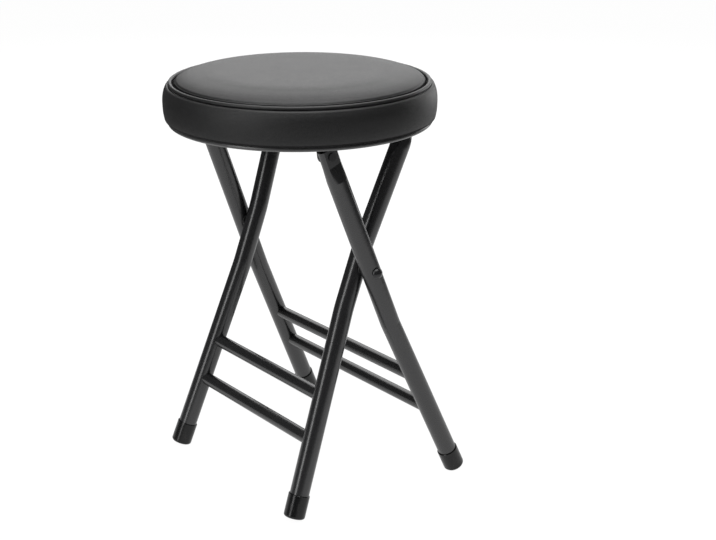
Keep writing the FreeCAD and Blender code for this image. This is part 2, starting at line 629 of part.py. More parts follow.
def floor_block():
    """Makes the block under the floor that trims the feet flat."""
    block = doc.addObject("Part::Box", "floor_block")
    reach = "(Places.outer_foot_half_width + Places.outer_foot_y + Sizes.foot_length)"
    block.setExpression("Length", f"2 * {reach}")
    block.setExpression("Width", f"2 * {reach}")
    block.setExpression("Height", "Sizes.foot_length")
    block.setExpression("Placement.Base.x", f"-{reach}")
    block.setExpression("Placement.Base.y", f"-{reach}")
    block.setExpression("Placement.Base.z", "-Sizes.foot_length")
    return block


# Rivets and washers.


def rivet(name, placement, tail, seat, shank, head, tail_head=None):
    """Builds a rivet along its own Z: domed head from seat upwards, shank down to tail.

    head and tail_head are (radius, rise). Without tail_head the shank ends flush.
    """
    body = new_body(name, placement)
    radius, rise = head
    corners = []
    if tail_head:
        tail_radius, tail_rise = tail_head
        corners += [
            ("0", f"{tail} - {tail_rise}", None),
            (tail_radius, f"{tail} - {tail_rise}", None),
            (tail_radius, tail, None),
            (shank, tail, None),
        ]
    else:
        corners += [("0", tail, None), (shank, tail, None)]
    corners += [
        (shank, seat, None),
        (radius, seat, (f"({radius} ^ 2 + {rise} ^ 2) / (2 * {rise})", 1)),
        ("0", f"{seat} + {rise}", None),
    ]
    revolve(body, corners)
    return body


def pivot_set(side_name, side):
    """Builds a pivot's rivet, its tail formed inside the inner tube, and the washer between the tubes."""
    where = place(pivot_spot(side), turn("y", f"{side} * 90"))
    head = ("Sizes.pivot_head_radius", "Sizes.pivot_head_rise")
    tail = ("Sizes.rivet_tail_radius", "Sizes.pivot_tail_rise")
    body = rivet("pivot_rivet_" + side_name, where, "Places.pivot_tail",
                 "Places.tube_radius + Sizes.rivet_seat_gap", "Sizes.rivet_radius", head, tail)
    keep(body, body.Name)
    washer = new_body("pivot_washer_" + side_name, where)
    bore = "Sizes.rivet_radius + Sizes.washer_fit"
    middle = "-(Places.tube_radius + Sizes.pivot_gap / 2)"
    low = f"{middle} - Sizes.washer_thickness / 2"
    high = f"{middle} + Sizes.washer_thickness / 2"
    revolve(washer, (
        (bore, low, None),
        ("Sizes.washer_radius", low, None),
        ("Sizes.washer_radius", high, None),
        (bore, high, None),
    ))
    keep(washer, washer.Name)


def hinge_spot(side):
    """Gives the point of the hinge axis on an outer leg."""
    return point(f"{side} * Places.hinge_half_width", "Places.hinge_y", "Places.hinge_height")


def hinge_rivet(side_name, side):
    """Builds the rivet that joins a leg's eye to its bracket's ear, with its head inside the ear."""
    body = rivet(
        "hinge_rivet_" + side_name,
        place(hinge_spot(side), turn("y", f"-{side} * 90")),
        "-(Places.eye_face + Sizes.ear_gap)",
        "Sizes.ear_thickness + Sizes.ear_gap - Places.ear_face",
        "Sizes.rivet_radius",
        ("Sizes.hinge_head_radius", "Sizes.hinge_head_rise"),
        ("Sizes.rivet_tail_radius", "Sizes.hinge_tail_rise"))
    keep(body, body.Name)


# Seat hardware.


def hinge_bracket(side_name, side):
    """Builds a hinge bracket: a flange under the deck and an ear on the inner side of the leg's eye."""
    half_turn = "0" if side > 0 else "180"
    body = new_body("hinge_bracket_" + side_name, place(hinge_spot(side), turn("z", half_turn)))
    top = "Places.deck_under - Places.hinge_height"
    half = "Sizes.bracket_width / 2"
    ear = new_sketch(body, "YZ_Plane", "Places.ear_face - Sizes.ear_thickness")
    outline(ear, (
        (f"-{half}", top, None),
        (f"-{half}", f"{top} - Sizes.bracket_shoulder", None),
        ("-Sizes.ear_radius", "0", ("Sizes.ear_radius", 1)),
        ("0", "-Sizes.ear_radius", ("Sizes.ear_radius", 1)),
        ("Sizes.ear_radius", "0", None),
        (half, f"{top} - Sizes.bracket_shoulder", None),
        (half, top, None),
    ))
    pad(body, ear, "Sizes.ear_thickness")
    flange = new_sketch(body, "XY_Plane", top)
    outline(flange, (
        ("Places.ear_face - Sizes.flange_reach", f"-{half}", None),
        ("Places.ear_face", f"-{half}", None),
        ("Places.ear_face", half, None),
        ("Places.ear_face - Sizes.flange_reach", half, None),
    ))
    pad(body, flange, "Sizes.ear_thickness", reverse=True)
    outer = Vector(value("Places.ear_face"), 0, value(top))
    step = value("Sizes.ear_thickness")
    along = Vector(0, 1, 0)
    round_bend(body, (outer, along), (outer - Vector(step, 0, step), along),
               ("Sizes.bracket_bend + Sizes.ear_thickness", "Sizes.bracket_bend"))
    drill(body, "YZ_Plane", (("0", "0", "Sizes.rivet_radius + Sizes.rivet_fit"),),
          "4 * Sizes.ear_thickness", "Places.ear_face")
    pin_x = "Places.bracket_pin_x - Places.hinge_half_width"
    pin = "Sizes.pin_radius + Sizes.pin_fit"
    drill(body, "XY_Plane", [(pin_x, f"{sign} * Sizes.pin_pitch / 2", pin) for sign in (-1, 1)],
          "4 * Sizes.ear_thickness", top)
    keep(body, body.Name)


def catch_hook(side_name, side):
    """Builds a catch: a bent strip that hangs from the deck behind the crossbar and curls under it."""
    body = new_body(
        "catch_hook_" + side_name,
        place(point(f"{side} * Sizes.catch_offset", "Places.bar_y", "Places.bar_height"), turn("z", "0")))
    inner, outer = "Places.catch_inner", "Places.catch_outer"
    strip = new_sketch(body, "YZ_Plane")
    outline(strip, (
        (inner, "0", None),
        (inner, inner, None),
        (f"{inner} + Sizes.catch_flange", inner, None),
        (f"{inner} + Sizes.catch_flange", f"{inner} - Sizes.catch_thickness", None),
        (outer, f"{inner} - Sizes.catch_thickness", None),
        (outer, "0", (outer, -1)),
        (f"{outer} * cos(Sizes.catch_lip_angle)", f"-{outer} * sin(Sizes.catch_lip_angle)", None),
        (f"{inner} * cos(Sizes.catch_lip_angle)", f"-{inner} * sin(Sizes.catch_lip_angle)", (inner, 1)),
    ))
    pad(body, strip, "Sizes.catch_width", midplane=True)
    corner = Vector(0, value(inner), value(inner))
    step = value("Sizes.catch_thickness")
    along = Vector(1, 0, 0)
    round_bend(body, (corner, along), (corner + Vector(0, step, -step), along),
               ("Sizes.bracket_bend + Sizes.catch_thickness", "Sizes.bracket_bend"))
    pin_y = "Places.catch_pin_y - Places.bar_y"
    pin = "Sizes.pin_radius + Sizes.pin_fit"
    drill(body, "XY_Plane", [(f"{sign} * Sizes.pin_pitch / 2", pin_y, pin) for sign in (-1, 1)],
          "4 * Sizes.catch_thickness", inner)
    keep(body, body.Name)


def pin_spots():
    """Lists the small rivets as (x, y, plate thickness)."""
    spots = []
    for _, side in SIDES:
        for sign in (-1, 1):
            step = f"{sign} * Sizes.pin_pitch / 2"
            bracket_x = f"{side} * Places.bracket_pin_x"
            catch_x = f"{side} * Sizes.catch_offset + {step}"
            spots.append((bracket_x, f"Places.hinge_y + {step}", "Sizes.ear_thickness"))
            spots.append((catch_x, "Places.catch_pin_y", "Sizes.catch_thickness"))
    return spots


def bracket_rivets():
    """Builds the small rivets that hold brackets and catches to the deck, flush above it."""
    rivets = []
    for number, (x, y, plate) in enumerate(pin_spots(), start=1):
        where = place(point(x, y, f"Places.deck_under - {plate}"), turn("x", "180"))
        rivets.append(rivet(f"bracket_rivet_{number}", where, f"-({plate} + Sizes.pan_sheet)", "0",
                            "Sizes.pin_radius", ("Sizes.pin_head_radius", "Sizes.pin_head_rise")))
    group = doc.addObject("Part::Compound", "bracket_rivets")
    group.Links = rivets
    keep(group, "bracket_rivets")


def seat_pan():
    """Builds the pan: a stamped dish, open downwards, with rivet holes and a ring of air holes."""
    body = new_body("seat_pan")
    low = "Sizes.seat_base_height + Sizes.ring_flange + Sizes.soft_gap"
    inner_corner = "Sizes.pan_corner - Sizes.pan_sheet"
    revolve(body, (
        ("0", "Places.deck_under", None),
        ("Places.pan_radius - Sizes.pan_corner", "Places.deck_under", (inner_corner, -1)),
        ("Places.pan_inner", "Places.deck_top - Sizes.pan_corner", None),
        ("Places.pan_inner", low, None),
        ("Places.pan_radius", low, None),
        ("Places.pan_radius", "Places.deck_top - Sizes.pan_corner", ("Sizes.pan_corner", 1)),
        ("Places.pan_radius - Sizes.pan_corner", "Places.deck_top", None),
        ("0", "Places.deck_top", None),
    ))
    deck = ("4 * Sizes.pan_sheet", "Places.deck_under")
    drill(body, "XY_Plane", [(x, y, "Sizes.pin_radius + Sizes.pin_fit") for x, y, _ in pin_spots()], *deck)
    vent = drill(body, "XY_Plane", (("Sizes.vent_circle", "0", "Sizes.vent_radius"),), *deck)
    vents = body.newObject("PartDesign::PolarPattern", "seat_pan_vents")
    vents.Originals = [vent]
    vents.Axis = (vent.Profile[0], ["N_Axis"])
    vents.Angle = 360
    vents.Occurrences = 6
    body.Tip = vents
    keep(body, body.Name)


def trim_ring():
    """Builds the trim ring: two rolled beads round the cover's hem, turned in under the pan's edge."""
    body = new_body("trim_ring")
    low = "Sizes.seat_base_height"
    middle = f"{low} + Sizes.ring_height / 2"
    flange_top = f"{low} + Sizes.ring_flange"
    revolve(body, (
        ("Places.pan_inner", low, None),
        ("Places.ring_outer", low, ("Places.bead_arc", 1)),
        ("Places.ring_outer", middle, ("Places.bead_arc", 1)),
        ("Places.ring_outer", "Places.ring_top", None),
        ("Places.ring_inner", "Places.ring_top", None),
        ("Places.ring_inner", flange_top, None),
        ("Places.pan_inner", flange_top, None),
    ))
    keep(body, body.Name)


# Cushion.


def crown(drop):
    """Gives the top panel's surface from its edge to the middle, lowered by an expression."""
    return [
        ("Places.panel_edge_radius", f"Places.panel_edge_height - ({drop})", ("Places.roll_arc", 1)),
        ("Places.roll_radius", f"Places.roll_height - ({drop})", ("Places.crown_arc", 1)),
        ("0", f"Places.crown_height - ({drop})", None),
    ]


def cover_top():
    """Builds the cover's crowned top panel."""
    body = new_body("cover_top")
    thickness = "Sizes.cover_thickness"
    revolve(body, crown("0") + [
        ("0", f"Places.crown_height - {thickness}", ("Places.crown_arc", -1)),
        ("Places.roll_radius", f"Places.roll_height - {thickness}", ("Places.roll_arc", -1)),
        ("Places.panel_edge_radius", f"Places.panel_edge_height - {thickness}", None),
    ])
    keep(body, body.Name)


def cover_band():
    """Builds the cover's side band: drawn in at both seams, with its hem down inside the trim ring."""
    body = new_body("cover_band")
    thickness = "Sizes.cover_thickness"
    hem = "Sizes.seat_base_height + Sizes.hem_rise"
    fold = f"Places.band_foot_height + {thickness}"
    revolve(body, (
        ("Places.hem_inner", hem, None),
        ("Places.hem_outer", hem, None),
        ("Places.hem_outer", "Places.band_foot_height", None),
        ("Places.band_foot_radius", "Places.band_foot_height", ("Places.lower_arc", 1)),
        ("Sizes.seat_radius", "Places.bulge_height", ("Places.upper_arc", 1)),
        ("Places.shoulder_radius", "Places.shoulder_height", ("Places.shoulder_arc", 1)),
        ("Places.band_top_radius", "Places.band_top_height", None),
        (f"Places.band_top_radius - {thickness}", "Places.band_top_height", ("Places.shoulder_arc", -1)),
        (f"Places.shoulder_radius - {thickness}", "Places.shoulder_height", ("Places.upper_arc", -1)),
        (f"Sizes.seat_radius - {thickness}", "Places.bulge_height", ("Places.lower_arc", -1)),
        (f"Places.band_foot_radius - {thickness}", fold, None),
        ("Places.hem_inner", fold, None),
    ))
    keep(body, body.Name)


def welt_piping():
    """Builds the piped bead sewn between top panel and side band."""
    piece = doc.addObject("Part::Torus", "welt_piping")
    piece.setExpression("Radius1", "Places.welt_radius")
    piece.setExpression("Radius2", "Sizes.welt_bead")
    piece.setExpression("Placement.Base.z", "Places.welt_height")
    keep(piece, "welt_piping")


def foam_pad():
    """Builds the foam that fills the cover above the deck."""
    body = new_body("foam_pad")
    skin = "(Sizes.cover_thickness + Sizes.soft_gap)"
    under_welt = "Places.welt_height - 2 * Sizes.welt_bead - Sizes.soft_gap"
    revolve(body, [
        ("0", "Places.deck_top + Sizes.soft_gap", None),
        (f"Sizes.seat_radius - {skin} - Sizes.soft_gap", "Places.deck_top + Sizes.soft_gap", None),
        (f"Sizes.seat_radius - {skin}", "Places.bulge_height", ("Places.upper_arc", 1)),
        (f"Places.shoulder_radius - {skin}", "Places.shoulder_height", None),
        (f"Places.band_top_radius - {skin}", under_welt, None),
    ] + crown(skin))
    keep(body, body.Name)


# Assembly.

for side_name, side in SIDES:
    outer_leg(side_name, side)
frame_rungs("outer", "Places.outer_foot_y", "Places.lower_spread", "tan(Sizes.outer_lower_lean)")
inner_frame()
frame_rungs("inner", "Places.inner_foot_slant * sin(Sizes.inner_lean)",
            "tan(Places.inner_flare) / cos(Sizes.inner_lean)", "-tan(Sizes.inner_lean)")
floor = floor_block()
for side_name, side in SIDES:
    foot("outer", side_name, side, floor)
    foot("inner", side_name, side, floor)
    pivot_set(side_name, side)
    hinge_rivet(side_name, side)
    hinge_bracket(side_name, side)
    catch_hook(side_name, side)
bracket_rivets()
seat_pan()
trim_ring()
foam_pad()
cover_band()
welt_piping()
cover_top()

doc.recompute()
for piece in doc.Objects:
    if "Invalid" in piece.State or "Error" in piece.State:
        raise RuntimeError(f"{piece.Label} failed: {piece.State}")
for piece in parts:
    if piece.Shape.isNull() or not piece.Shape.isValid():
        raise RuntimeError(f"{piece.Label} has no valid shape")

os.makedirs("parts", exist_ok=True)
for piece in parts:
    piece.Shape.exportStep(os.path.join("parts", piece.Label + ".step"))
    box = piece.Shape.BoundBox
    print(f"{piece.Label}: {len(piece.Shape.Solids)} solids, {piece.Shape.Volume:.0f} mm3,"
          f" z {box.ZMin:.2f} to {box.ZMax:.2f}")
for name in ("hinge_y", "hinge_height", "hinge_half_width", "bar_y", "bar_height"):
    print(name, round(value("Places." + name), 4))
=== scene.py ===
"""Dresses the padded folding stool: vinyl cushion, painted frames, rubber feet, plain studio."""

import logging
import math
from dataclasses import dataclass
from enum import Enum
from typing import Iterable, Optional, Sequence

import bmesh
import bpy
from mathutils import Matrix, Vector, noise


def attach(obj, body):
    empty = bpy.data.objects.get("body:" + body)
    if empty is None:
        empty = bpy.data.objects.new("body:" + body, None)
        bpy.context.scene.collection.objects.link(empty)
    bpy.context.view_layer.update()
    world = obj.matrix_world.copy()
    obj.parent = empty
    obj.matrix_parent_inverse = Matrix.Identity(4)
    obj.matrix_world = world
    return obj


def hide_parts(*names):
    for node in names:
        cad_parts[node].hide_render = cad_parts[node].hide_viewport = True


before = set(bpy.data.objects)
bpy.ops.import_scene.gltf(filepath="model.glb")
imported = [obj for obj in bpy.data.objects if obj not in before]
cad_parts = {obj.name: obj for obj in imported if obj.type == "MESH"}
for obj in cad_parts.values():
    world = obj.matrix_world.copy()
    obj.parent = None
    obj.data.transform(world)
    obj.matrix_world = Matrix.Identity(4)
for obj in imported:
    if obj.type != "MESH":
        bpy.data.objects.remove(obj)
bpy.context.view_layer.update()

LOG = logging.getLogger("stool")
MM = 0.001
# Points nearer than this, in metres, are merged.
MERGE = 1e-6
Colour = tuple[float, float, float]
Place = tuple[float, float]


class Side(Enum):
    """The two halves of the stool along X."""

    LEFT = -1
    RIGHT = 1


class Body(Enum):
    """The three moving bodies of the stool."""

    SEAT = "seat"
    OUTER = "outer_frame"
    INNER = "inner_frame"


# Shader trees.


class Tree:
    """Places nodes in a shader tree and joins their sockets."""

    def __init__(self, tree: bpy.types.NodeTree) -> None:
        """Keeps the tree and clears it.

        Args:
            tree: The shader tree to fill.
        """
        self.tree = tree
        tree.nodes.clear()

    def add(self, kind: str, **settings: object) -> bpy.types.Node:
        """Adds a node.

        Args:
            kind: The node's type, without its ShaderNode prefix.
            settings: Properties of the node, or values of its inputs by socket name, with _ for a
                space.

        Returns:
            The new node.
        """
        node = self.tree.nodes.new(kind if kind.startswith("Node") else "ShaderNode" + kind)
        for name, value in settings.items():
            if hasattr(node, name):
                setattr(node, name, value)
            else:
                node.inputs[name.replace("_", " ")].default_value = value
        return node

    def join(self, source: bpy.types.NodeSocket, target: bpy.types.NodeSocket) -> None:
        """Links two sockets.

        Args:
            source: An output.
            target: The input that it feeds.
        """
        self.tree.links.new(source, target)

    def math(self, operation: str, *operands: object) -> bpy.types.NodeSocket:
        """Works a sum out of sockets and numbers.

        Args:
            operation: One of the Math node's operations.
            operands: Sockets or plain numbers, in order.

        Returns:
            The socket with the result.
        """
        node = self.add("Math", operation=operation)
        for socket, operand in zip(node.inputs, operands):
            if isinstance(operand, (int, float)):
                socket.default_value = operand
            else:
                self.join(operand, socket)
        return node.outputs[0]

    def spread(self, value: bpy.types.NodeSocket, low: float, high: float,
               to_low: float = 0.0, to_high: float = 1.0) -> bpy.types.NodeSocket:
        """Maps a range of values to another, held at its ends.

        Args:
            value: The socket to map.
            low: Start of the range.
            high: End of the range.
            to_low: What the start becomes.
            to_high: What the end becomes.

        Returns:
            The mapped socket.
        """
        node = self.add("MapRange", From_Min=low, From_Max=high, To_Min=to_low, To_Max=to_high)
        self.join(value, node.inputs["Value"])
        return node.outputs["Result"]


class Group(Enum):
    """The surface effects that several finishes share."""

    GRAIN = "vinyl_grain"
    PEEL = "paint_peel"
    DUST = "settled_dust"
    SCUFF = "rubbed_marks"


class Effects:
    """Builds each shared effect once, as a shader node group.

    A band is the stretch of a value over which its mask rises from 0 to 1.
    """

    GRAIN_WARP = 0.0016
    GRAIN_BAND = (0.0, 0.28)
    GRAIN_SWELL = 0.6
    FLECK_BAND = (0.55, 0.75)
    FACING_BAND = (0.2, 0.95)
    DUST_BAND = (0.4, 0.75)
    STREAK_TURN = (0.5, 0.3, 0.4)
    STREAK_SCALE = (260.0, 240.0, 40.0)
    STREAK_BAND = (0.56, 0.7)

    @staticmethod
    def group(which: Group) -> bpy.types.NodeTree:
        """Gives an effect's node group, building it at first use.

        Args:
            which: The effect.

        Returns:
            Its node group.
        """
        if which.value in bpy.data.node_groups:
            return bpy.data.node_groups[which.value]
        tree = bpy.data.node_groups.new(which.value, "ShaderNodeTree")
        makers = {
            Group.GRAIN: Effects._grain,
            Group.PEEL: Effects._peel,
            Group.DUST: Effects._dust,
            Group.SCUFF: Effects._scuff,
        }
        makers[which](tree)
        return tree

    @staticmethod
    def _sockets(tree: bpy.types.NodeTree, inputs: dict[str, float],
                 outputs: Sequence[str]) -> tuple[Tree, bpy.types.Node, bpy.types.Node]:
        """Gives a group its sockets.

        Args:
            tree: The group's tree.
            inputs: Names and first values of its number inputs.
            outputs: Names of its number outputs.

        Returns:
            The tree's builder, its input node and its output node.
        """
        for name, value in inputs.items():
            socket = tree.interface.new_socket(name, in_out="INPUT", socket_type="NodeSocketFloat")
            socket.default_value = value
        for name in outputs:
            tree.interface.new_socket(name, in_out="OUTPUT", socket_type="NodeSocketFloat")
        builder = Tree(tree)
        return builder, builder.add("NodeGroupInput"), builder.add("NodeGroupOutput")

    @staticmethod
    def _grain(tree: bpy.types.NodeTree) -> None:
        """Builds the pebbled grain of coated cloth: small rounded cells with creases between.

        Args:
            tree: The group's tree.
        """
        build, start, end = Effects._sockets(tree, {"Scale": 900.0}, ("Height", "Crease"))
        place = build.add("TexCoord").outputs["Object"]
        warp = build.add("TexNoise", Scale=260.0, Detail=2.0)
        build.join(place, warp.inputs["Vector"])
        mixed = build.add("Mix", data_type="VECTOR", Factor=Effects.GRAIN_WARP)
        build.join(place, mixed.inputs[4])
        build.join(warp.outputs["Color"], mixed.inputs[5])
        cells = build.add("TexVoronoi", feature="DISTANCE_TO_EDGE")
        build.join(mixed.outputs[1], cells.inputs["Vector"])
        build.join(start.outputs["Scale"], cells.inputs["Scale"])
        crease = build.spread(cells.outputs["Distance"], *Effects.GRAIN_BAND)
        broad = build.add("TexNoise", Scale=120.0, Detail=3.0)
        build.join(place, broad.inputs["Vector"])
        swell = build.math("MULTIPLY", broad.outputs["Fac"], Effects.GRAIN_SWELL)
        build.join(build.math("ADD", crease, swell), end.inputs["Height"])
        build.join(build.math("SUBTRACT", 1.0, crease), end.inputs["Crease"])

    @staticmethod
    def _peel(tree: bpy.types.NodeTree) -> None:
        """Builds the slight waviness and flecks of sprayed and baked paint.

        Args:
            tree: The group's tree.
        """
        build, start, end = Effects._sockets(tree, {"Scale": 380.0}, ("Height", "Fleck"))
        place = build.add("TexCoord").outputs["Object"]
        waves = build.add("TexNoise", Detail=1.0, Roughness=0.4)
        build.join(place, waves.inputs["Vector"])
        build.join(start.outputs["Scale"], waves.inputs["Scale"])
        flecks = build.add("TexNoise", Scale=2600.0, Detail=1.0)
        build.join(place, flecks.inputs["Vector"])
        build.join(waves.outputs["Fac"], end.inputs["Height"])
        fleck = build.spread(flecks.outputs["Fac"], *Effects.FLECK_BAND)
        build.join(fleck, end.inputs["Fleck"])

    @staticmethod
    def _dust(tree: bpy.types.NodeTree) -> None:
        """Builds a patchy mask of dust that settles where a surface faces up.

        Args:
            tree: The group's tree.
        """
        build, start, end = Effects._sockets(tree, {"Patch": 28.0}, ("Mask",))
        place = build.add("TexCoord").outputs["Object"]
        facing = build.add("SeparateXYZ")
        build.join(build.add("NewGeometry").outputs["Normal"], facing.inputs[0])
        up = build.spread(facing.outputs["Z"], *Effects.FACING_BAND)
        patches = build.add("TexNoise", Detail=5.0, Roughness=0.65)
        build.join(place, patches.inputs["Vector"])
        build.join(start.outputs["Patch"], patches.inputs["Scale"])
        patchy = build.spread(patches.outputs["Fac"], *Effects.DUST_BAND)
        build.join(build.math("MULTIPLY", up, patchy), end.inputs["Mask"])

    @staticmethod
    def _scuff(tree: bpy.types.NodeTree) -> None:
        """Builds a mask of fine rubbed streaks, stronger towards the floor.

        Args:
            tree: The group's tree.
        """
        build, start, end = Effects._sockets(tree, {"Height": 0.05}, ("Mask",))
        place = build.add("TexCoord").outputs["Object"]
        stretch = build.add("Mapping")
        stretch.inputs["Rotation"].default_value = Effects.STREAK_TURN
        stretch.inputs["Scale"].default_value = Effects.STREAK_SCALE
        build.join(place, stretch.inputs["Vector"])
        streaks = build.add("TexNoise", Scale=1.0, Detail=3.0)
        build.join(stretch.outputs["Vector"], streaks.inputs["Vector"])
        height = build.add("SeparateXYZ")
        build.join(place, height.inputs[0])
        low = build.math("DIVIDE", height.outputs["Z"], start.outputs["Height"])
        near_floor = build.spread(low, 0.0, 1.0, 1.0, 0.0)
        rubbed = build.spread(streaks.outputs["Fac"], *Effects.STREAK_BAND)
        build.join(build.math("MULTIPLY", near_floor, rubbed), end.inputs["Mask"])


# Finishes.


@dataclass(frozen=True)
class Finish:
    """A plain dielectric surface that the other finishes build on.

    Attributes:
        name: The material's name.
        colour: Its colour.
        roughness: Its middle roughness.
        dust: How much settled dust lightens it.
        gloss: Level of its mirror reflection, 0.5 for plain lacquer.
    """

    name: str
    colour: Colour
    roughness: float
    dust: float = 0.0
    gloss: float = 0.5

    DUST_COLOUR = (0.24, 0.23, 0.22, 1.0)
    # Colour that painted shade multiplies in.
    SHADE_COLOUR = (0.35, 0.35, 0.35, 1.0)

    def material(self) -> bpy.types.Material:
        """Gives the finish's material, building it at first use.

        Returns:
            The material.
        """
        if self.name in bpy.data.materials:
            return bpy.data.materials[self.name]
        material = bpy.data.materials.new(self.name)
        material.use_nodes = True
        build = Tree(material.node_tree)
        shader = build.add("BsdfPrincipled", Specular_IOR_Level=self.gloss)
        output = build.add("OutputMaterial")
        build.join(shader.outputs["BSDF"], output.inputs["Surface"])
        self.paint(build, shader)
        return material

    def paint(self, build: Tree, shader: bpy.types.Node) -> None:
        """Fills the shader's sockets.

        Args:
            build: The material's tree.
            shader: Its main shader.
        """
        shader.inputs["Roughness"].default_value = self.roughness
        self.tint(build, shader, None)

    def effect(self, build: Tree, which: Group, **values: float) -> bpy.types.Node:
        """Places a shared effect with its own values.

        Args:
            build: The material's tree.
            which: The effect.
            values: Values of its inputs.

        Returns:
            The group node.
        """
        node = build.add("Group", node_tree=Effects.group(which))
        for name, value in values.items():
            node.inputs[name].default_value = value
        return node

    def tint(self, build: Tree, shader: bpy.types.Node,
             shade: Optional[bpy.types.NodeSocket]) -> None:
        """Colours the surface, with dust over it and painted shade where the shade mask says.

        Args:
            build: The material's tree.
            shader: Its main shader.
            shade: A mask of places darkened as painted shade, or None.
        """
        colour = build.add("Mix", data_type="RGBA")
        colour.inputs[6].default_value = (*self.colour, 1.0)
        colour.inputs[7].default_value = self.DUST_COLOUR
        settled = self.effect(build, Group.DUST)
        amount = build.math("MULTIPLY", settled.outputs["Mask"], self.dust)
        build.join(amount, colour.inputs["Factor"])
        result = colour.outputs[2]
        if shade is not None:
            dark = build.add("Mix", data_type="RGBA", blend_type="MULTIPLY")
            dark.inputs[7].default_value = self.SHADE_COLOUR
            build.join(shade, dark.inputs["Factor"])
            build.join(result, dark.inputs[6])
            result = dark.outputs[2]
        build.join(result, shader.inputs["Base Color"])

    def relief(self, build: Tree, shader: bpy.types.Node, height: bpy.types.NodeSocket,
               depth: float) -> None:
        """Raises a bump.

        Args:
            build: The material's tree.
            shader: Its main shader.
            height: The bump's height, from 0 to about 1.
            depth: What a height of 1 stands for, in metres.
        """
        bump = build.add("Bump", Strength=1.0, Distance=depth)
        build.join(height, bump.inputs["Height"])
        build.join(bump.outputs["Normal"], shader.inputs["Normal"])


@dataclass(frozen=True)
class PaintFinish(Finish):
    """Sprayed and baked paint on steel.

    Attributes:
        peel: Depth of its waviness in metres.
    """

    peel: float = 0.00002

    FLECK_ROUGHNESS = 0.10

    def paint(self, build: Tree, shader: bpy.types.Node) -> None:
        """Fills the shader's sockets with waviness, flecks and dust.

        Args:
            build: The material's tree.
            shader: Its main shader.
        """
        peel = self.effect(build, Group.PEEL)
        rough = build.math("MULTIPLY", peel.outputs["Fleck"], self.FLECK_ROUGHNESS)
        build.join(build.math("ADD", rough, self.roughness), shader.inputs["Roughness"])
        self.tint(build, shader, None)
        self.relief(build, shader, peel.outputs["Height"], self.peel)


@dataclass(frozen=True)
class VinylFinish(Finish):
    """Coated cloth with a fine pebbled grain.

    Attributes:
        grain: Depth of the grain in metres.
        cells: Grain cells to a metre.
        hem: Height in metres below which the folded edge is dull and darkened with painted seam
            shade.
    """

    grain: float = 0.00008
    cells: float = 900.0
    hem: float = 0.4250

    HEM_SHADE_FADE = 0.001
    HEM_DULL = 0.5
    CREASE_ROUGHNESS = 0.14
    CREASE_SHADE = 0.5

    def paint(self, build: Tree, shader: bpy.types.Node) -> None:
        """Fills the shader's sockets with grain, painted shade in the creases and along the hem, a
        dull hem and dust.

        Args:
            build: The material's tree.
            shader: Its main shader.
        """
        grain = self.effect(build, Group.GRAIN, Scale=self.cells)
        height = build.add("SeparateXYZ")
        build.join(build.add("TexCoord").outputs["Object"], height.inputs[0])
        # Painted seam shade: below the hem height the lip is darkened where the cover meets the
        # trim ring, and also made duller.
        painted_seam_shade = build.spread(height.outputs["Z"], self.hem, self.hem + self.HEM_SHADE_FADE, 1.0, 0.0)
        crease = grain.outputs["Crease"]
        rough = build.math("MULTIPLY_ADD", crease, self.CREASE_ROUGHNESS, self.roughness)
        dull = build.math("MULTIPLY_ADD", painted_seam_shade, self.HEM_DULL, rough)
        build.join(dull, shader.inputs["Roughness"])
        # Painted shade in the grain's creases.
        shade = build.math("MULTIPLY", crease, self.CREASE_SHADE)
        self.tint(build, shader, build.math("MAXIMUM", shade, painted_seam_shade))
        self.relief(build, shader, grain.outputs["Height"], self.grain)


@dataclass(frozen=True)
class RubberFinish(Finish):
    """Moulded foot rubber, rubbed pale near the floor."""

    SCUFF_HEIGHT = 0.03
    SCUFF_ROUGHNESS = 0.35
    SCUFF_SHARE = 0.35
    SCUFF_COLOUR = (0.09, 0.085, 0.08, 1.0)
    MOULD_SCALE = 700.0
    MOULD_DEPTH = 0.00002

    def paint(self, build: Tree, shader: bpy.types.Node) -> None:
        """Fills the shader's sockets with scuffs and a faint moulded texture.

        Args:
            build: The material's tree.
            shader: Its main shader.
        """
        scuff = self.effect(build, Group.SCUFF, Height=self.SCUFF_HEIGHT)
        peel = self.effect(build, Group.PEEL, Scale=self.MOULD_SCALE)
        rough = build.math("MULTIPLY", scuff.outputs["Mask"], self.SCUFF_ROUGHNESS)
        build.join(build.math("ADD", rough, self.roughness), shader.inputs["Roughness"])
        colour = build.add("Mix", data_type="RGBA")
        colour.inputs[6].default_value = (*self.colour, 1.0)
        colour.inputs[7].default_value = self.SCUFF_COLOUR
        amount = build.math("MULTIPLY", scuff.outputs["Mask"], self.SCUFF_SHARE)
        build.join(amount, colour.inputs["Factor"])
        build.join(colour.outputs[2], shader.inputs["Base Color"])
        self.relief(build, shader, peel.outputs["Height"], self.MOULD_DEPTH)


FRAME_PAINT = PaintFinish("frame_paint_finish", (0.011, 0.011, 0.012), 0.24, dust=0.05, gloss=0.8)
RIM_PAINT = PaintFinish("rim_paint_finish", (0.05, 0.05, 0.051), 0.33, dust=0.02, gloss=1.0)
PAN_PAINT = PaintFinish("pan_paint_finish", (0.014, 0.014, 0.015), 0.42, dust=0.03, peel=0.00004)
RIVET_PAINT = PaintFinish("rivet_paint_finish", (0.012, 0.012, 0.013), 0.26)
SEAT_VINYL = VinylFinish("seat_vinyl_finish", (0.010, 0.010, 0.0104), 0.40, dust=0.05)
WELT_VINYL = VinylFinish(
    "welt_vinyl_finish", (0.012, 0.012, 0.0125), 0.36, grain=0.00005, cells=1100.0)
FOOT_RUBBER = RubberFinish("foot_rubber_finish", (0.005, 0.005, 0.0053), 0.20, gloss=0.35)
WASHER_NYLON = PaintFinish("washer_nylon_finish", (0.03, 0.03, 0.03), 0.5)


# Meshes.


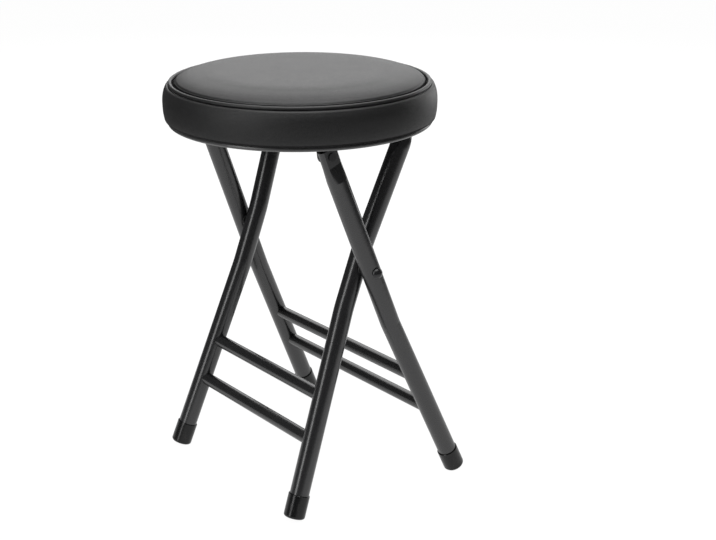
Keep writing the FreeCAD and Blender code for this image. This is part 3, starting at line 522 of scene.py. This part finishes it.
def new_piece(name: str, mesh: bmesh.types.BMesh, finish: Finish) -> bpy.types.Object:
    """Makes an object of a finished mesh.

    Args:
        name: The piece's name.
        mesh: Its mesh, which is freed.
        finish: Its finish.

    Returns:
        The object, shaded smooth and in the scene.
    """
    data = bpy.data.meshes.new(name)
    mesh.to_mesh(data)
    mesh.free()
    data.shade_smooth()
    data.materials.append(finish.material())
    piece = bpy.data.objects.new(name, data)
    bpy.context.scene.collection.objects.link(piece)
    return piece


def turned(profile: Iterable[Place], steps: int) -> bmesh.types.BMesh:
    """Spins a profile about the Z axis into a closed mesh.

    Args:
        profile: Radii and heights in millimetres, along the surface.
        steps: Segments of the full turn.

    Returns:
        The mesh, with its doubles merged and its faces turned outwards.
    """
    mesh = bmesh.new()
    spots = [mesh.verts.new((radius * MM, 0.0, height * MM)) for radius, height in profile]
    edges = [mesh.edges.new(pair) for pair in zip(spots, spots[1:])]
    bmesh.ops.spin(mesh, geom=spots + edges, cent=(0, 0, 0), axis=(0, 0, 1), angle=math.tau,
                   steps=steps, use_merge=True)
    bmesh.ops.remove_doubles(mesh, verts=mesh.verts, dist=MERGE)
    bmesh.ops.recalc_face_normals(mesh, faces=mesh.faces)
    return mesh


def arc(middle: Place, radius: float, start: float, end: float, count: int) -> list[Place]:
    """Draws an arc in a section.

    Args:
        middle: Its middle.
        radius: Its radius.
        start: Angle of its first point in degrees, 0 pointing outwards and 90 up.
        end: Angle of its last point.
        count: Stretches of the arc.

    Returns:
        Its points.
    """
    turns = [math.radians(start + (end - start) * step / count) for step in range(count + 1)]
    return [
        (middle[0] + radius * math.cos(turn), middle[1] + radius * math.sin(turn))
        for turn in turns
    ]


def dress(nodes: Iterable[str], finish: Finish) -> None:
    """Gives CAD nodes a finish.

    Args:
        nodes: Names of the nodes.
        finish: Their finish.
    """
    for name in nodes:
        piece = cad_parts[name]
        if not piece.material_slots:
            piece.data.materials.append(None)
        for slot in piece.material_slots:
            slot.material = finish.material()
        LOG.info("dressed %s with %s", name, finish.name)


# Sub-assemblies.


@dataclass
class Cushion:
    """The sewn and stuffed seat: top panel and side band in one shell, and the welt.

    Sizes are in millimetres unless said otherwise. Places are a radius and a height.

    Attributes:
        steps: Segments round the shell before it is subdivided.
        pressure: Air pressure of the stuffing.
        cap: The furthest that a point may swell, in metres.
        crease: Share of the cloth's own unevenness that is kept.
        deck: Corner of the underside, which rests on the pan.
        hem: Points of the cover's hem, tucked in behind the trim ring and led over its top.
        lip: Middle of the rolled lip that hangs over the trim ring.
        lip_roll: Radius of that lip.
        band: Widest place of the side band.
        band_curve: How boxy the band is, 2 for a plain curve.
        shoulder: Middle of the roll along the band's upper edge.
        shoulder_roll: Radius of that roll.
        channel: Points of the sewn channel between shoulder and panel.
        panel: Edge of the top panel.
        panel_roll: Radius of the roll round that edge.
        crown: Height of the panel's middle.
        crown_power: How flat the panel's middle is, 2 for a plain dome.
        welt_place: Axis of the welt.
        welt_bead: Radius of the welt.
    """

    steps: int = 104
    pressure: float = 4.0
    cap: float = 0.0006
    crease: float = 0.15
    deck: Place = (144.0, 438.3)
    hem: tuple[Place, ...] = (
        (144.6, 437.0), (144.7, 430.5), (145.2, 428.5), (147.7, 428.1), (148.4, 427.4))
    lip: Place = (149.7, 424.9)
    lip_roll: float = 1.2
    band: Place = (152.5, 441.5)
    band_curve: float = 2.6
    shoulder: Place = (146.4, 457.4)
    shoulder_roll: float = 3.0
    channel: tuple[Place, ...] = ((142.3, 458.5), (140.5, 458.7), (139.3, 459.9))
    panel: Place = (136.2, 467.1)
    panel_roll: float = 4.0
    crown: float = 474.4
    crown_power: float = 9.0
    welt_place: Place = (143.5, 462.2)
    welt_bead: float = 2.3

    # What is held while the shell swells: all below a height, the radii of the welt's seam, and the
    # underside with this margin in radius and height round the deck's corner.
    HELD_BELOW = 429.0
    SEAM = (138.3, 144.1)
    DECK_MARGIN = (1.0, 0.2)
    # Angles of the rolls in degrees, and stretches of each part of the section.
    LIP_ARC = (180.0, 345.0)
    SHOULDER_ARC = (25.0, 160.0)
    PANEL_TUCK = -8.0
    DECK_COUNT = 4
    LIP_COUNT = 6
    BAND_COUNT = 4
    ROLL_COUNT = 8
    # Shares of the panel's radius at which the crown has a point.
    CROWN_SHARES = (0.96, 0.91, 0.85, 0.77, 0.66, 0.5, 0.3, 0.12, 0.0)
    # The cloth's settings, the frames it runs for, and the digits of a metre that tell rings apart.
    CLOTH = {
        "quality": 5,
        "mass": 0.3,
        "tension_stiffness": 30.0,
        "compression_stiffness": 30.0,
        "shear_stiffness": 10.0,
        "bending_stiffness": 2.0,
        "use_pressure": True,
    }
    CLOTH_FRAMES = 20
    RING_DIGITS = 5
    # Points round the welt's section and along it, and the spread, height and lean of its bumps.
    WELT_SIDES = 16
    WELT_STEPS = 256
    WELT_WAVES = 18.0
    WELT_BUMP = 0.18
    WELT_LEAN = 0.6

    def build(self) -> None:
        """Builds the whole cushion and hangs it on the seat."""
        shell = self.shell()
        welt = self.welt()
        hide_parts("foam_pad", "cover_top", "cover_band")
        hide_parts("welt_piping")
        for piece in (shell, welt):
            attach(piece, Body.SEAT.value)
            LOG.info("built %s", piece.name)

    def outline(self) -> list[Place]:
        """Draws half of the shell's section, from the deck's middle round to the crown's.

        Returns:
            The section's points.
        """
        under = [
            (self.deck[0] * step / self.DECK_COUNT, self.deck[1])
            for step in range(self.DECK_COUNT + 1)
        ]
        lip = arc(self.lip, self.lip_roll, *self.LIP_ARC, self.LIP_COUNT)
        shoulder = arc(self.shoulder, self.shoulder_roll, *self.SHOULDER_ARC, self.ROLL_COUNT)
        lower = self.drawn_in(lip[-1], self.BAND_COUNT)
        upper = self.drawn_in(shoulder[0], self.BAND_COUNT)
        radius, height = self.panel
        slope = math.atan(self.crown_power * (self.crown - height) / radius)
        middle = (radius - self.panel_roll * math.sin(slope),
                  height - self.panel_roll * math.cos(slope))
        top = 90.0 - math.degrees(slope)
        edge = arc(middle, self.panel_roll, self.PANEL_TUCK, top, self.ROLL_COUNT)
        crown = [
            (radius * share, self.crown - (self.crown - height) * share ** self.crown_power)
            for share in self.CROWN_SHARES
        ]
        band = lower[:0:-1] + [self.band] + upper[1:-1]
        return [*under, *self.hem, *lip, *band, *shoulder, *self.channel, *edge, *crown]

    def drawn_in(self, end: Place, count: int) -> list[Place]:
        """Draws the band from an end, where a seam draws it in, to its widest place.

        Args:
            end: The drawn-in end.
            count: Stretches of the curve.

        Returns:
            Points from the widest place to the end, both included.
        """
        wide, middle = self.band
        shares = [step / count for step in range(count + 1)]
        return [
            (wide - (wide - end[0]) * share ** self.band_curve, middle + (end[1] - middle) * share)
            for share in shares
        ]

    def shell(self) -> bpy.types.Object:
        """Builds the crowned shell, sewn in along its seams, and lets it swell.

        Returns:
            The shell.
        """
        mesh = turned(self.outline(), self.steps)
        bmesh.ops.subdivide_edges(mesh, edges=mesh.edges[:], cuts=1, use_grid_fill=True, smooth=0.0)
        piece = new_piece("seat_cushion", mesh, SEAT_VINYL)
        self.swell(piece)
        smooth = piece.modifiers.new("rounding", "SUBSURF")
        smooth.levels = 1
        smooth.render_levels = 1
        return piece

    def held(self, spot: Vector) -> bool:
        """Tells whether a point is sewn or glued down: underside, hem and the welt's seam.

        Args:
            spot: The point, in metres.

        Returns:
            True for a held point.
        """
        radius = math.hypot(spot.x, spot.y) / MM
        height = spot.z / MM
        reach, rise = self.DECK_MARGIN
        inside = height < self.deck[1] + rise and radius < self.deck[0] + reach
        seam = self.SEAM[0] < radius < self.SEAM[1] and height > self.band[1]
        return inside or seam or height < self.HELD_BELOW

    def swell(self, piece: bpy.types.Object) -> None:
        """Fills the shell by a cloth simulation and keeps its result.

        Args:
            piece: The shell.
        """
        before = [vertex.co.copy() for vertex in piece.data.vertices]
        pins = piece.vertex_groups.new(name="sewn")
        sewn = [vertex.index for vertex in piece.data.vertices if self.held(vertex.co)]
        pins.add(sewn, 1.0, "ADD")
        cloth = piece.modifiers.new("stuffing", "CLOTH")
        settings = cloth.settings
        for name, value in self.CLOTH.items():
            setattr(settings, name, value)
        settings.uniform_pressure_force = self.pressure
        settings.vertex_group_mass = pins.name
        settings.effector_weights.gravity = 0.0
        cloth.collision_settings.use_collision = False
        scene = bpy.context.scene
        for step in range(1, self.CLOTH_FRAMES + 1):
            scene.frame_set(step)
        filled = piece.evaluated_get(bpy.context.evaluated_depsgraph_get()).to_mesh()
        after = [vertex.co.copy() for vertex in filled.vertices]
        scene.frame_set(1)
        piece.modifiers.remove(cloth)
        piece.vertex_groups.remove(pins)
        self.settle(piece, before, after)

    def settle(self, piece: bpy.types.Object, before: list[Vector], after: list[Vector]) -> None:
        """Moves the shell towards its swollen form, evened out along each ring of points.

        Args:
            piece: The shell.
            before: Its points as sewn.
            after: Its points as swollen.
        """
        digits = self.RING_DIGITS
        rings: dict[Place, list[Place]] = {}
        for old, new in zip(before, after):
            key = (round(math.hypot(old.x, old.y), digits), round(old.z, digits))
            rings.setdefault(key, []).append((math.hypot(new.x, new.y) - key[0], new.z - old.z))
        for vertex, old, new in zip(piece.data.vertices, before, after):
            radius = math.hypot(old.x, old.y)
            moves = rings[(round(radius, digits), round(old.z, digits))]
            outward, upward = (sum(parts) / len(moves) for parts in zip(*moves))
            way = Vector((old.x, old.y, 0.0)).normalized()
            move = (way * outward + Vector((0.0, 0.0, upward))).lerp(new - old, self.crease)
            if move.length > self.cap:
                move *= self.cap / move.length
            vertex.co = old + move
        piece.data.update()

    def welt(self) -> bpy.types.Object:
        """Builds the piped bead, slightly uneven as cord under coated cloth is.

        Returns:
            The welt.
        """
        bead = arc(self.welt_place, self.welt_bead, 0.0, 360.0, self.WELT_SIDES)
        mesh = turned(bead, self.WELT_STEPS)
        for vertex in mesh.verts:
            angle = math.atan2(vertex.co.y, vertex.co.x)
            way = Vector((math.cos(angle), math.sin(angle), 0.0))
            bump = noise.noise(way * self.WELT_WAVES) * self.WELT_BUMP * MM
            vertex.co += (way + Vector((0.0, 0.0, self.WELT_LEAN))) * bump
        return new_piece("seat_welt", mesh, WELT_VINYL)


class SeatHardware:
    """The pan, the trim ring, the brackets and catches under the seat."""

    def build(self) -> None:
        """Dresses the nodes."""
        dress(("trim_ring",), RIM_PAINT)
        dress(("seat_pan",), PAN_PAINT)
        for side in Side:
            name = side.name.lower()
            dress((f"hinge_bracket_{name}", f"catch_hook_{name}"), PAN_PAINT)
        dress(("bracket_rivets",), RIVET_PAINT)


@dataclass
class LegFrame:
    """One of the two crossed frames: tubes, rungs and feet.

    Attributes:
        body: The frame's body.
        tubes: Its leg tubes.
    """

    body: Body
    tubes: tuple[str, ...]

    def build(self) -> None:
        """Dresses the frame's nodes."""
        prefix = self.body.value.split("_")[0]
        dress(self.tubes, FRAME_PAINT)
        dress((f"{prefix}_upper_rung", f"{prefix}_lower_rung"), FRAME_PAINT)
        dress((f"{prefix}_foot_left", f"{prefix}_foot_right"), FOOT_RUBBER)


class Fixings:
    """The rivets and washers of pivots and hinge."""

    def build(self) -> None:
        """Dresses the nodes."""
        for side in Side:
            name = side.name.lower()
            dress((f"pivot_rivet_{name}", f"hinge_rivet_{name}"), RIVET_PAINT)
            dress((f"pivot_washer_{name}",), WASHER_NYLON)


# Studio.


@dataclass(frozen=True)
class Softbox:
    """A rectangular lamp that looks at the stool.

    Attributes:
        name: The lamp's name.
        azimuth: Its bearing in degrees, 0 at -Y and turning towards +X.
        elevation: Its height angle in degrees.
        distance: How far it stands off, in metres.
        size: Its width and height in metres.
        power: Its power in watts.
    """

    name: str
    azimuth: float
    elevation: float
    distance: float
    size: tuple[float, float]
    power: float

    def build(self, target: Vector) -> None:
        """Puts the lamp in the scene.

        Args:
            target: The point that it looks at.
        """
        lamp = bpy.data.lights.new(self.name, "AREA")
        lamp.shape = "RECTANGLE"
        lamp.size, lamp.size_y = self.size
        lamp.energy = self.power
        piece = bpy.data.objects.new(self.name, lamp)
        spot = target + bearing(self.azimuth, self.elevation) * self.distance
        piece.location = spot
        piece.rotation_euler = (target - spot).to_track_quat("-Z", "Y").to_euler()
        piece.visible_camera = False
        bpy.context.scene.collection.objects.link(piece)


def bearing(azimuth: float, elevation: float) -> Vector:
    """Turns a bearing and a height angle into a direction.

    Args:
        azimuth: The bearing in degrees, 0 at -Y and turning towards +X.
        elevation: The height angle in degrees.

    Returns:
        The unit vector.
    """
    turn, rise = math.radians(azimuth), math.radians(elevation)
    level = math.cos(rise)
    return Vector((math.sin(turn) * level, -math.cos(turn) * level, math.sin(rise)))


@dataclass
class Studio:
    """A white floor and surround, with a painted pool of light that the floor shows in reflections,
    soft lamps and the camera.

    Attributes:
        azimuth: The camera's bearing in degrees.
        elevation: The camera's height angle in degrees.
        distance: From the camera to its target, in metres.
        focal_pixels: Focal length in pixels of the frame.
        frame_width: Width of the frame in pixels.
        aside: The target's place to the right of the stool's axis, in metres.
        height: The target's height in metres.
        ambient: Strength of the room's light.
    """

    azimuth: float = 50.43
    elevation: float = 20.07
    distance: float = 1.480
    focal_pixels: float = 1265.9
    frame_width: float = 716.0
    aside: float = 0.06408
    height: float = 0.23793
    ambient: float = 0.10

    SENSOR = 36.0
    LAMPS = (
        Softbox("back_softbox", 230.0, 42.0, 2.2, (1.7, 3.2), 30.0),
        Softbox("left_strip", 4.0, 14.0, 2.0, (0.55, 2.2), 14.0),
        Softbox("right_softbox", 190.0, 6.0, 2.2, (1.2, 1.6), 11.0),
        Softbox("top_softbox", 50.0, 77.0, 2.2, (2.0, 1.5), 42.0),
    )
    LAMP_TARGET = (0.0, 0.0, 0.3)
    FAR = 50.0
    # The floor's size, its colour under the lamps, how bright the camera sees it, and how much of
    # that seen white covers the lit floor.
    FLOOR_RADIUS = 6.0
    FLOOR_SIDES = 96
    FLOOR_COLOUR = (0.85, 0.85, 0.85, 1.0)
    FLOOR_WHITE = 1.08
    FLOOR_COVER = 0.9
    # The painted pool of light that the floor glows with in reflections: its middle, where it
    # fades, and its glow there.
    POOL_PLACE = (0.2, 0.2, 0.0)
    POOL = (1.0, 1.25)
    POOL_GLOW = (0.9, 0.06)

    def build(self) -> None:
        """Builds world, floor, lamps and camera."""
        scene = bpy.context.scene
        scene.view_settings.view_transform = "Standard"
        self.world()
        self.floor()
        for lamp in self.LAMPS:
            lamp.build(Vector(self.LAMP_TARGET))
        self.camera()
        LOG.info("built studio")

    def world(self) -> None:
        """Builds a white surround for the camera over a dim room."""
        world = bpy.data.worlds.new("studio_world")
        world.use_nodes = True
        bpy.context.scene.world = world
        build = Tree(world.node_tree)
        back = build.add("Background")
        output = build.add("OutputWorld")
        path = build.add("LightPath")
        strength = build.spread(path.outputs["Is Camera Ray"], 0.0, 1.0, self.ambient, 1.0)
        build.join(strength, back.inputs["Strength"])
        back.inputs["Color"].default_value = (1.0, 1.0, 1.0, 1.0)
        build.join(back.outputs[0], output.inputs["Surface"])

    def floor(self) -> None:
        """Builds the pale floor, which keeps a soft shadow and, in reflections, glows with a
        painted pool of light.
        """
        mesh = bmesh.new()
        bmesh.ops.create_circle(mesh, cap_ends=True, segments=self.FLOOR_SIDES,
                                radius=self.FLOOR_RADIUS)
        data = bpy.data.meshes.new("studio_floor")
        mesh.to_mesh(data)
        mesh.free()
        material = bpy.data.materials.new("studio_floor_finish")
        material.use_nodes = True
        build = Tree(material.node_tree)
        lit = build.add("BsdfDiffuse", Color=self.FLOOR_COLOUR)
        glow = build.add("Emission", Color=(1.0, 1.0, 1.0, 1.0))
        mix = build.add("MixShader")
        output = build.add("OutputMaterial")
        path = build.add("LightPath")
        away = build.add("VectorMath", operation="DISTANCE")
        build.join(build.add("TexCoord").outputs["Object"], away.inputs[0])
        away.inputs[1].default_value = self.POOL_PLACE
        # Painted pool of light: the floor glows for reflected rays, brightest near the stool and
        # fading away from it.
        painted_pool = build.spread(away.outputs["Value"], *self.POOL, *self.POOL_GLOW)
        plain = build.math(
            "MAXIMUM", path.outputs["Is Camera Ray"], path.outputs["Is Transmission Ray"])
        white = build.math("MULTIPLY", plain, self.FLOOR_WHITE)
        build.join(build.math("MAXIMUM", white, painted_pool), glow.inputs["Strength"])
        seen = build.math("MAXIMUM", plain, path.outputs["Is Glossy Ray"])
        build.join(build.math("MULTIPLY", seen, self.FLOOR_COVER), mix.inputs[0])
        build.join(lit.outputs[0], mix.inputs[1])
        build.join(glow.outputs[0], mix.inputs[2])
        build.join(mix.outputs[0], output.inputs["Surface"])
        data.materials.append(material)
        piece = bpy.data.objects.new("studio_floor", data)
        bpy.context.scene.collection.objects.link(piece)

    def camera(self) -> None:
        """Puts the camera at the photograph's angle."""
        lens = bpy.data.cameras.new("photo_camera")
        lens.sensor_width = self.SENSOR
        lens.sensor_fit = "HORIZONTAL"
        lens.lens = self.focal_pixels * self.SENSOR / self.frame_width
        lens.clip_end = self.FAR
        turn = math.radians(self.azimuth)
        across = Vector((math.cos(turn), math.sin(turn), 0.0)) * self.aside
        target = across + Vector((0.0, 0.0, self.height))
        piece = bpy.data.objects.new("photo_camera", lens)
        piece.location = target + bearing(self.azimuth, self.elevation) * self.distance
        piece.rotation_euler = (target - piece.location).to_track_quat("-Z", "Y").to_euler()
        bpy.context.scene.collection.objects.link(piece)
        bpy.context.scene.camera = piece


def main() -> None:
    """Builds the stool's pieces in order, then the studio."""
    logging.basicConfig(level=logging.INFO, format="%(name)s: %(message)s")
    Cushion().build()
    SeatHardware().build()
    LegFrame(Body.OUTER, ("outer_leg_left", "outer_leg_right")).build()
    LegFrame(Body.INNER, ("inner_frame_tube",)).build()
    Fixings().build()
    Studio().build()


if __name__ == "__main__":
    main()
